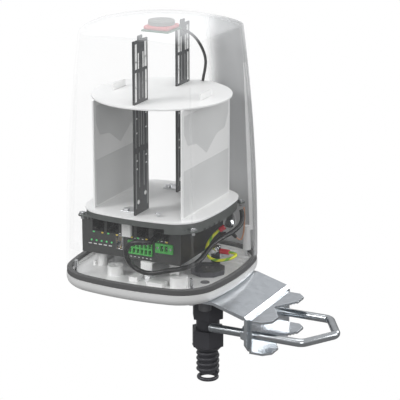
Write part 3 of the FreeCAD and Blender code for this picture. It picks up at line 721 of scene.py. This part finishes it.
@dataclass
class AntennaStack:
    """Reflector, panels, disc and dipole boards with their printed patterns."""

    shop: Workshop
    low: float = 66.0
    high: float = 172.2
    panel_x: float = 47.0
    skin: float = 0.12
    half_board: float = 0.8
    pale_width: float = 1.7
    bright_strips: tuple[tuple[float, ...], ...] = (
        (176, 204, 10.0, 2.6), (207, 231, 9.4, 3.8), (207, 222, 4.6, 1.8))
    pale_strips: tuple[tuple[float, ...], ...] = (
        (92, 126, 4.6), (132, 170, 4.6), (72, 126, 11.2), (132, 170, 11.2), (178, 203, 3.6))

    def sheets(self) -> None:
        """The plain boards and frames."""
        self.shop.refine("chassis_frame", Look.FRAME, width=0.35)
        self.shop.refine("reflector_plate", Look.WHITE_BOARD, width=0.3)
        self.shop.refine("upper_disc", Look.WHITE_BOARD, width=0.3)
        self.shop.refine("antenna_panel_left", Look.WHITE_BOARD, width=0.15)
        self.shop.refine("antenna_panel_right", Look.WHITE_BOARD, width=0.15)
        self.shop.refine("front_dipole_board", Look.DARK_BOARD, width=0.12)
        self.shop.refine("rear_dipole_board", Look.DARK_BOARD, width=0.12)
        self.shop.refine("board_feet", Look.STEEL, width=0.3)
        self.shop.refine("foot_screws", Look.STEEL, width=0.3)
        self.shop.refine("chassis_screws", Look.STEEL, width=0.3)

    def panel_print(self) -> None:
        """Fan-shaped radiator and ground area printed on both faces of each panel."""
        middle = (self.low + self.high) / 2
        for side, name in ((-1, "left"), (1, "right")):
            shape = bmesh.new()
            for face in (-1, 1):
                place_x = side * self.panel_x + face * (self.half_board + self.skin / 2)
                lower = (place_x, 0, (self.low + middle) / 2 - 2)
                block(shape, lower, (self.skin, 98, middle - self.low - 8))
                corners = [(0, middle + 1), (22, middle + 15), (40, middle + 17), (48, middle + 30),
                           (48, self.high - 6), (-48, self.high - 6), (-48, middle + 30),
                           (-40, middle + 17), (-22, middle + 15)]
                verts = [shape.verts.new((place_x - self.skin / 2, y, z)) for y, z in corners]
                fan = shape.faces.new(verts)
                grown = bmesh.ops.extrude_face_region(shape, geom=[fan])["geom"]
                moved = [item for item in grown if isinstance(item, bmesh.types.BMVert)]
                bmesh.ops.translate(shape, vec=(self.skin, 0, 0), verts=moved)
            bmesh.ops.recalc_face_normals(shape, faces=shape.faces)
            piece = self.shop.from_bmesh(f"panel_print_{name}", shape)
            self.shop.register(piece, Look.INK, None, "enclosure", "white_board")

    def board_print(self) -> None:
        """Rails, strips and rungs printed on the dipole boards."""
        for side, name in ((-1, "front"), (1, "rear")):
            centre = side * 44.0
            bright = bmesh.new()
            pale = bmesh.new()
            for face in (-1, 1):
                place_x = face * (self.half_board + self.skin / 2)
                for low, high, rail, wide in self.bright_strips:
                    for way in (-1, 1):
                        spot = (place_x, centre + way * rail, (high + low) / 2)
                        block(bright, spot, (self.skin, wide, high - low))
                for low, high, rail in self.pale_strips:
                    for way in (-1, 1):
                        spot = (place_x, centre + way * rail, (high + low) / 2)
                        block(pale, spot, (self.skin, self.pale_width, high - low))
                block(pale, (place_x, centre, 151), (self.skin, 2.4, 36))
                for level in (111, 119, 146, 160, 190, 214):
                    block(bright, (place_x, centre - 9.4, level), (self.skin, 2.4, 1.4))
                    block(bright, (place_x, centre + 9.4, level + 2.5), (self.skin, 2.4, 1.4))
            for offset, level in ((-7, 78), (7, 84)):
                post(bright, (0, centre + offset, level), 2.1, 1.9, (1, 0, 0), 24)
            piece = self.shop.from_bmesh(f"{name}_rails", bright)
            self.shop.register(piece, Look.TRACE, None, "enclosure", "white_board")
            piece = self.shop.from_bmesh(f"{name}_strips", pale)
            self.shop.register(piece, Look.PALE_TRACE, None, "enclosure", "white_board")

    def satellite(self) -> None:
        """The satellite patch under the crown."""
        self.shop.refine("gnss_board", Look.BOARD, "radome", 0.25)
        self.shop.refine("gnss_ceramic", Look.CLAY, "radome", 1.6, 4)
        self.shop.refine("gnss_cover", Look.PATCH, "radome", 0.8, 4)

    def build(self) -> None:
        """Make the stack."""
        self.sheets()
        self.panel_print()
        self.board_print()
        self.satellite()


# ------------------------------------------------------------------ router

@dataclass
class Router:
    """The router with its ports, lamps, terminals and clips."""

    shop: Workshop
    face: float = -38.0
    port_height: float = 44.5
    ports: tuple = (-51.1, -35.0, -18.7, -2.3, 19.4)

    def housing(self) -> None:
        """Case, panels and fittings from the frame."""
        self.shop.refine("router_case", Look.CASE, width=1.2, segments=3)
        self.shop.refine("router_front_panel", Look.FACE, width=0.3)
        self.shop.refine("router_rear_panel", Look.FACE, width=0.3)
        self.shop.refine("router_board", Look.BOARD, width=0.1)
        self.shop.refine("router_feet", Look.GASKET, width=0.4)
        self.shop.refine("router_clips", Look.WHITE, width=0.35)
        self.shop.refine("sma_connectors", Look.GOLD, width=0.2)
        self.shop.refine("usb_socket", Look.STEEL, width=0.1)
        self.shop.refine("io_terminal_block", Look.GREEN, width=0.2)
        self.shop.refine("power_socket", Look.GREEN, width=0.25)
        self.shop.refine("status_leds", Look.LAMP_GREEN, width=0.15)
        # Painted shade: the network jacks take the near-black painted shade finish for their openings.
        for number in range(1, 6):
            self.shop.refine(f"rj45_jack_{number}", Look.PAINTED_SHADE, width=0.2)

    def lamps(self) -> None:
        """Link lamps under each port: green on the left and amber on the right."""
        for name, side, look in (("link_lamps_green", -1, Look.LAMP_GREEN),
                                 ("link_lamps_amber", 1, Look.LAMP_AMBER)):
            shape = bmesh.new()
            for port in self.ports:
                block(shape, (port + side * 4.8, self.face - 0.6, self.port_height - 7.4), (2.1, 0.6, 1.3))
            piece = self.shop.from_bmesh(name, shape)
            self.shop.bevel(piece, 0.2)
            self.shop.register(piece, look, "link_leds" if side < 0 else None, "enclosure", "led_green")

    def contacts(self) -> None:
        """Gold contacts inside the four empty network sockets and the data socket."""
        shape = bmesh.new()
        for port in self.ports[:4]:
            for pin in range(8):
                verts = block(shape, (port - 3.6 + pin * 1.02, self.face + 9, self.port_height + 3.4),
                              (0.4, 6.0, 0.4))
                lean = Matrix.Rotation(math.radians(-10), 4, "X")
                bmesh.ops.rotate(shape, verts=verts, matrix=lean,
                                 cent=(port, self.face + 9, self.port_height + 3.4))
        for pin in range(4):
            block(shape, (-27.0, self.face + 6, 26.4 + pin * 2.2), (0.3, 8, 1.1))
        piece = self.shop.from_bmesh("port_contacts", shape)
        self.shop.register(piece, Look.GOLD, None, "enclosure", "stainless")

    def marks(self) -> None:
        """Plain printed dashes beside the lamps and terminals."""
        shape = bmesh.new()
        for step in range(5):
            place_x = -60.4 + 5.6 * step
            block(shape, (place_x, self.face - 0.05, 24.6), (3.6, 0.1, 0.8))
        for step in range(6):
            block(shape, (-15.0 + 4.3 * step, self.face - 0.05, 17.6), (1.6, 0.1, 0.7))
            block(shape, (-15.0 + 4.3 * step, self.face - 0.05, 36.4), (1.6, 0.1, 0.7))
        for step in range(2):
            block(shape, (18.6 + 4.0 * step, self.face - 0.05, 37.4), (1.4, 0.1, 0.9))
        block(shape, (-27.2, self.face - 0.05, 38.6), (2.0, 0.1, 0.8))
        piece = self.shop.from_bmesh("printed_dashes", shape)
        self.shop.register(piece, Look.TRACE, None, "enclosure", "white_plastic")

    def terminals(self) -> None:
        """Metal clamps, and near-black sheets in the green blocks that paint the shade in their throats."""
        metal = bmesh.new()
        # Painted shade: the near-black sheets below stand in for the shade inside the terminal and
        # power-socket throats.
        dark = bmesh.new()
        for column in range(6):
            for level in range(2):
                place = (-15.05 + 4.3 * column, self.face + 1.4, 24.3 + 6.2 * level)
                block(dark, place, (2.6, 0.5, 4.4))
                block(metal, (place[0], self.face + 0.6, place[2] - 1.0), (1.5, 1.2, 1.0))
        for column in range(2):
            block(dark, (19.2 + 4.6 * column, self.face + 2.4, 30.4), (3.1, 0.6, 5.8))
            post(metal, (19.2 + 4.6 * column, self.face + 1.6, 30.4), 0.6, 3.0, (0, 1, 0), 16)
        for spot in (14.5, 28.5):
            post(metal, (spot, self.face - 0.4, 30.4), 1.25, 1.6, (0, 1, 0), 24)
        piece = self.shop.from_bmesh("terminal_clamps", metal)
        self.shop.bevel(piece, 0.1)
        self.shop.register(piece, Look.STEEL, None, "enclosure", "stainless")
        piece = self.shop.from_bmesh("terminal_throat_shade", dark)
        self.shop.register(piece, Look.PAINTED_SHADE, None, "enclosure", "black_nylon")

    def build(self) -> None:
        """Make the router."""
        self.housing()
        self.lamps()
        self.contacts()
        self.marks()
        self.terminals()


# ------------------------------------------------------------------ tray, bracket and clamp

@dataclass
class TrayAndClamp:
    """The base tray, its seals and screws, and the galvanised mast clamp."""

    shop: Workshop
    leg: float = 35.5
    drop: float = -43.0
    tip: float = 69.0

    def tray(self) -> None:
        """Casting, gasket and fixings."""
        self.shop.refine("base_tray", Look.CASTING, width=0.6, segments=3)
        self.shop.refine("tray_gasket", Look.GASKET, width=0.9, segments=4)
        self.shop.refine("radome_screws", Look.STEEL, width=0.2)
        self.shop.refine("vent_plug", Look.GREY, width=0.7, segments=3)
        self.shop.refine("bracket_fasteners", Look.STEEL, width=0.3)

    def clamp(self) -> None:
        """Bracket, saddle, rod, nuts and washers."""
        self.shop.refine("mast_bracket", Look.ZINC, width=0.7, segments=3, angle=12.0)
        self.shop.refine("mast_saddle", Look.ZINC, width=0.45, segments=2)
        self.shop.refine("v_bolt", Look.ROD, "v_bolt", 0.5)
        self.shop.refine("v_bolt_nut_front", Look.ZINC, "nut_front", 0.5, 3)
        self.shop.refine("v_bolt_nut_rear", Look.ZINC, "nut_rear", 0.5, 3)
        self.shop.refine("v_bolt_washers", Look.ZINC, width=0.3)

    def threads(self) -> None:
        """Thread crests on the rod's two legs."""
        shape = bmesh.new()
        for side in (-1, 1):
            for turn in range(34):
                post(shape, (self.tip + 1.6 + 1.25 * turn, side * self.leg, self.drop), 4.0, 0.55,
                     (1, 0, 0), 24, 4.28)
        piece = self.shop.from_bmesh("rod_threads", shape)
        self.shop.register(piece, Look.ROD, None, "v_bolt", "zinc_steel")

    def build(self) -> None:
        """Make the tray and clamp."""
        self.tray()
        self.clamp()
        self.threads()


# ------------------------------------------------------------------ cable gland

@dataclass
class Gland:
    """Cable gland with its spiral bend relief."""

    shop: Workshop
    place: float = 49.5
    top: float = -82.5
    pitch: float = 5.6
    turns: int = 4
    reach: float = 9.6
    wire: float = 2.0

    def bodies(self) -> None:
        """The turned and moulded parts."""
        self.shop.refine("gland_body", Look.NYLON, width=0.7, segments=3)
        self.shop.refine("gland_seal", Look.GASKET, width=0.3)
        self.shop.refine("gland_insert", Look.GASKET, width=0.5)
        self.shop.refine("gland_locknut", Look.NYLON, width=0.7, segments=3)
        self.shop.refine("gland_washer", Look.GASKET, width=0.3)
        self.shop.refine("gland_dome_nut", Look.NYLON, "gland_nut", 0.8, 3)

    def spiral(self) -> None:
        """The tube and helix below the dome nut, closed by an open ring."""
        shape = bmesh.new()
        steps = 28
        start = Matrix.Translation((self.place + self.reach, 0, self.top))
        section = bmesh.ops.create_circle(shape, segments=14, radius=self.wire,
                                          matrix=start @ Matrix.Rotation(math.pi / 2, 4, "X"))["verts"]
        ring = {edge for vert in section for edge in vert.link_edges}
        bmesh.ops.spin(shape, geom=list(section) + list(ring), cent=(self.place, 0, 0), axis=(0, 0, -1),
                       dvec=(0, 0, -self.pitch / steps), angle=2 * math.pi * self.turns,
                       steps=steps * self.turns)
        bmesh.ops.holes_fill(shape, edges=[edge for edge in shape.edges if edge.is_boundary])
        low = self.top - self.pitch * (self.turns + 1)
        hoop = bmesh.ops.create_circle(shape, segments=14, radius=self.wire,
                                       matrix=Matrix.Translation((self.place + self.reach - 0.6, 0, low))
                                       @ Matrix.Rotation(math.pi / 2, 4, "X"))["verts"]
        edges = {edge for vert in hoop for edge in vert.link_edges}
        bmesh.ops.spin(shape, geom=list(hoop) + list(edges), cent=(self.place, 0, 0), axis=(0, 0, 1),
                       angle=2 * math.pi, steps=48, use_merge=True)
        for reach in (self.reach - 0.6, self.reach - 1.8):
            wall = bmesh.ops.create_circle(shape, segments=48, radius=reach,
                                           matrix=Matrix.Translation((self.place, 0, self.top + 2)))["verts"]
            rim = list({edge for vert in wall for edge in vert.link_edges})
            grown = bmesh.ops.extrude_edge_only(shape, edges=rim)["geom"]
            moved = [item for item in grown if isinstance(item, bmesh.types.BMVert)]
            bmesh.ops.translate(shape, vec=(0, 0, -self.pitch * self.turns - 2), verts=moved)
        post(shape, (self.place + self.reach - 0.6, 0, low + self.pitch / 2), 1.5, self.pitch)
        bmesh.ops.remove_doubles(shape, verts=shape.verts, dist=0.001)
        bmesh.ops.recalc_face_normals(shape, faces=shape.faces)
        piece = self.shop.from_bmesh("gland_spiral_coil", shape)
        self.shop.register(piece, Look.NYLON, "gland_spiral", "gland_nut")

    def build(self) -> None:
        """Make the gland."""
        self.bodies()
        self.spiral()


# ------------------------------------------------------------------ wiring

@dataclass(frozen=True)
class Lead:
    """One lead: its route's points, radius and declared length in millimetres."""

    node: str
    look: Look
    radius: float
    length: float
    stiffness: str
    points: tuple


LEADS = (
    Lead("ethernet_lead", Look.CABLE, 2.4, 210.0, "medium", (
        (19.4, -59, 44.5), (19.4, -65.4, 44.5), (15.2, -69.8, 45), (7.6, -71.2, 44.6), (0, -70, 41),
        (-4.5, -68, 34), (-5, -65.5, 26), (-2.5, -62.5, 18.5), (3.5, -60, 13), (12, -58.5, 10.5),
        (23, -58, 12), (34, -55.5, 15.5), (44, -49, 16.5), (51, -40.5, 17.5), (55, -30.5, 20.5),
        (56, -20.5, 24.2), (56.2, -9, 28.6), (57.6, 2, 31.4), (60.6, 12, 33.4), (64.2, 21.5, 35.2),
        (67.2, 30.5, 38), (68.4, 37.5, 42), (66.8, 42.4, 47.4), (64.6, 44.5, 52.6))),
    Lead("earth_wire", Look.EARTH, 1.5, 73.0, "medium", (
        (51, 22.8, 35.9), (48, 21.8, 33.5), (44.4, 18.6, 28.8), (42.6, 12, 22.8), (43.6, 7, 16.6),
        (48.2, 5.6, 12), (54, 6.6, 9.8), (60, 8, 10.2), (65.8, 9.8, 11.6), (71.2, 13.2, 13.4),
        (72, 20, 15.4), (63, 20, 15.4))),
    Lead("rf_pigtail", Look.BROWN, 0.8, 40.5, "stiff", (
        (64.7, 50, 53.8), (65.2, 50.3, 45), (65.3, 49.8, 35.5), (65, 48.6, 26.5), (63.6, 46.6, 20.4),
        (61.2, 43.3, 22.4), (60, 41.9, 24.4))),
    Lead("grey_pigtail", Look.SILVER, 1.0, 30.5, "stiff", (
        (51.2, 44, 53.8), (54.4, 44.2, 49), (58.6, 42.4, 44.2), (60.4, 39.6, 38.6), (58, 36.2, 33.8),
        (54.2, 33, 31))),
    Lead("gnss_coax", Look.CABLE, 1.4, 186.0, "stiff", (
        (13, 19, 233.2), (17, 24, 230.6), (21.6, 30.4, 224), (24.4, 38.4, 213), (23.4, 48.6, 200),
        (17.6, 58.6, 187), (12.4, 64.4, 176), (10.5, 66, 163), (11.4, 65.7, 140), (10.3, 66.2, 114),
        (10.9, 65.8, 88), (10.5, 66, 66))),
)


@dataclass
class Wiring:
    """Leads, plug, crimps and studs."""

    shop: Workshop

    def lead(self, lead: Lead) -> None:
        """Args:
            lead: the lead.
        """
        curve = bpy.data.curves.new(f"{lead.node}_cable", "CURVE")
        curve.dimensions = "3D"
        curve.bevel_depth = lead.radius * MM
        curve.bevel_resolution = 6
        curve.use_fill_caps = True
        spline = curve.splines.new("NURBS")
        spline.points.add(len(lead.points) - 1)
        places = [self.shop.layout.spot(point) for point in lead.points]
        for knot, place in zip(spline.points, places):
            knot.co = (*place, 1.0)
        spline.order_u = 3
        spline.use_endpoint_u = True
        spline.resolution_u = 10
        piece = bpy.data.objects.new(curve.name, curve)
        bpy.context.scene.collection.objects.link(piece)
        self.shop.register(piece, lead.look, lead.node, "enclosure")
        lay = "taut" if lead.node == "gnss_coax" else "loose"

    def fittings(self) -> None:
        """Plug, crimps and studs from the frame."""
        self.shop.refine("ethernet_plug", Look.CABLE, width=0.5, segments=3)
        self.shop.refine("crimp_rings", Look.STEEL, width=0.2)
        self.shop.refine("crimp_sleeves", Look.RED, width=0.6, segments=3)
        self.shop.refine("earth_stud", Look.STEEL, width=0.3)
        self.shop.refine("pigtail_connectors", Look.CABLE, width=0.3)

    def build(self) -> None:
        """Make the wiring."""
        self.fittings()
        for lead in LEADS:
            self.lead(lead)


# ------------------------------------------------------------------ studio

@dataclass
class Studio:
    """Pale floor, soft light and the camera."""

    layout: Layout
    camera_place: tuple = (757.35, -1455.01, 560.60)
    camera_way: tuple = (-0.42298, 0.85892, -0.28868)
    lens: float = 157.5
    floor_drop: float = -175.0

    def camera(self) -> None:
        """Place the camera."""
        data = bpy.data.cameras.new("camera")
        data.lens = self.lens
        data.sensor_width = 36.0
        data.clip_end = 50.0
        item = bpy.data.objects.new("camera", data)
        item.location = self.layout.spot(self.camera_place)
        item.rotation_euler = Vector(self.camera_way).to_track_quat("-Z", "Y").to_euler()
        bpy.context.scene.collection.objects.link(item)
        bpy.context.scene.camera = item

    def lamp(self, name: str, place: tuple, target: tuple, size: float, power: float) -> None:
        """Add one soft rectangular light.

        Args:
            name: its name.
            place: where it stands, in enclosure millimetres.
            target: what it faces.
            size: its side in metres.
            power: watts.
        """
        data = bpy.data.lights.new(name, "AREA")
        data.size = size
        data.energy = power
        item = bpy.data.objects.new(name, data)
        item.location = self.layout.spot(place)
        way = Vector(target) - Vector(place)
        item.rotation_euler = way.to_track_quat("-Z", "Y").to_euler()
        bpy.context.scene.collection.objects.link(item)

    def world(self) -> None:
        """White surround that lights the object softly, brighter from above."""
        world = bpy.data.worlds.new("surround")
        world.use_nodes = True
        nodes, links = world.node_tree.nodes, world.node_tree.links
        nodes.clear()
        seen = nodes.new("ShaderNodeBackground")
        seen.inputs["Color"].default_value = (1.0, 1.0, 1.0, 1.0)
        seen.inputs["Strength"].default_value = 1.0
        soft = nodes.new("ShaderNodeBackground")
        soft.inputs["Color"].default_value = (0.97, 0.98, 1.0, 1.0)
        place = nodes.new("ShaderNodeTexCoord")
        axes = nodes.new("ShaderNodeSeparateXYZ")
        rise = nodes.new("ShaderNodeMapRange")
        rise.interpolation_type = "SMOOTHSTEP"
        for slot, value in (("From Min", -0.5), ("From Max", 0.75), ("To Min", 0.16), ("To Max", 0.72)):
            rise.inputs[slot].default_value = value
        links.new(place.outputs["Generated"], axes.inputs[0])
        links.new(axes.outputs["Z"], rise.inputs["Value"])
        links.new(rise.outputs["Result"], soft.inputs["Strength"])
        path = nodes.new("ShaderNodeLightPath")
        mix = nodes.new("ShaderNodeMixShader")
        out = nodes.new("ShaderNodeOutputWorld")
        links.new(path.outputs["Is Camera Ray"], mix.inputs[0])
        links.new(soft.outputs[0], mix.inputs[1])
        links.new(seen.outputs[0], mix.inputs[2])
        links.new(mix.outputs[0], out.inputs[0])
        bpy.context.scene.world = world

    def floor(self) -> None:
        """A pale floor well below the object."""
        shape = bmesh.new()
        bmesh.ops.create_grid(shape, x_segments=1, y_segments=1, size=6.0)
        mesh = bpy.data.meshes.new("floor")
        shape.to_mesh(mesh)
        shape.free()
        item = bpy.data.objects.new("floor", mesh)
        item.location = (0, 0, self.layout.spot((0, 0, self.floor_drop)).z)
        bench = Bench("floor_paper")
        dull = bench.add("ShaderNodeBsdfDiffuse", None, {"Color": (0.22, 0.22, 0.22, 1.0)})
        glow = bench.add("ShaderNodeEmission", None, {"Color": (1.0, 1.0, 1.0, 1.0), "Strength": 1.0})
        seen = bench.add("ShaderNodeLightPath").wire("Is Camera Ray")
        paper = bench.add("ShaderNodeMixShader", None,
                          {0: seen, 1: dull.wire("BSDF"), 2: glow.wire("Emission")})
        bench.add("ShaderNodeOutputMaterial", None, {"Surface": paper.wire("Shader")})
        mesh.materials.append(bench.material)
        bpy.context.scene.collection.objects.link(item)

    def build(self) -> None:
        """Set up the studio."""
        self.camera()
        self.world()
        self.floor()
        self.lamp("key", (-1100, -1300, 1200), (0, 0, 80), 0.9, 17.0)
        self.lamp("top", (-100, 100, 1500), (0, 0, 80), 1.0, 6.0)
        self.lamp("fill", (1100, -1500, 700), (0, 0, 80), 0.8, 8.0)
        self.lamp("rim", (1300, 500, 500), (0, 0, 0), 0.5, 4.0)
        self.lamp("bend", (545, 1290, 590), (115, 0, -20), 0.3, 3.0)
        bpy.context.scene.view_settings.view_transform = "Standard"


def main() -> None:
    """Build every sub-assembly around the frame, in order."""
    logging.basicConfig(level=logging.INFO, format="%(name)s: %(message)s")
    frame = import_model()
    layout = Layout()
    shop = Workshop(layout, frame)
    Studio(layout).build()
    Wiring(shop).build()
    TrayAndClamp(shop).build()
    Gland(shop).build()
    Router(shop).build()
    AntennaStack(shop).build()
    Radome(shop, Outline()).build()
    LOG.info("%d pieces", len(shop.made))


if __name__ == "__main__":
    main()
